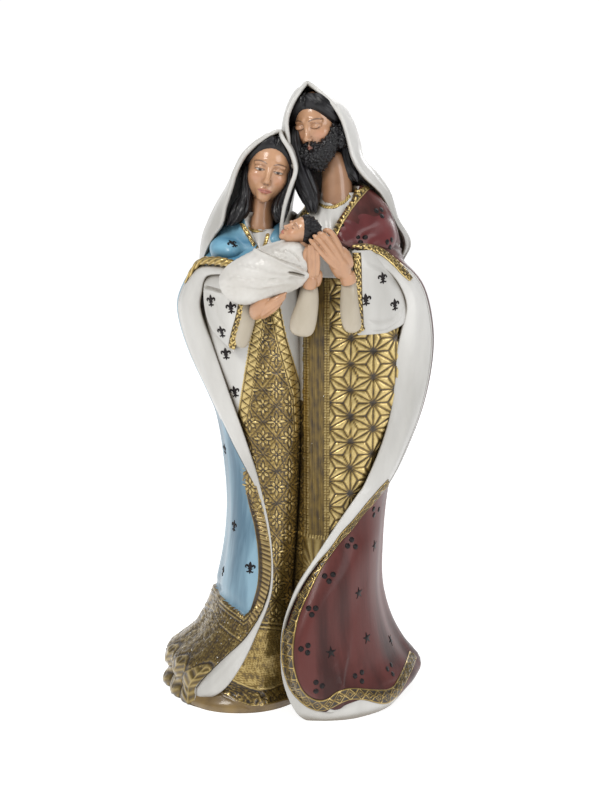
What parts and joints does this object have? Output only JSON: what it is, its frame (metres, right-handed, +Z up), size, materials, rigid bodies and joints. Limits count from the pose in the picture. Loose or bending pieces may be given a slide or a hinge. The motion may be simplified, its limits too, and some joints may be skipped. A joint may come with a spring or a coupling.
{
  "type": "holy family statue",
  "caption": "Painted resin statue of a veiled woman and a bearded man standing close together, holding a swaddled baby between them, on their own flat underside.",
  "frame": {"origin": "centre of the statue's bounding box in plan, on the floor under its flat underside", "axes": "+Z up, along the standing figures; -Y the way the figures face; +X to the viewer's right, where the man stands"},
  "size_m": [0.1329, 0.0989, 0.2998],
  "materials": {
    "painted_resin": "cast resin, hand painted in off-white, light blue, maroon and antique gold under a glossy varnish"
  },
  "bodies": {
    "root": {"holy_family_statue": "painted_resin"}
  },
  "joints": []
}
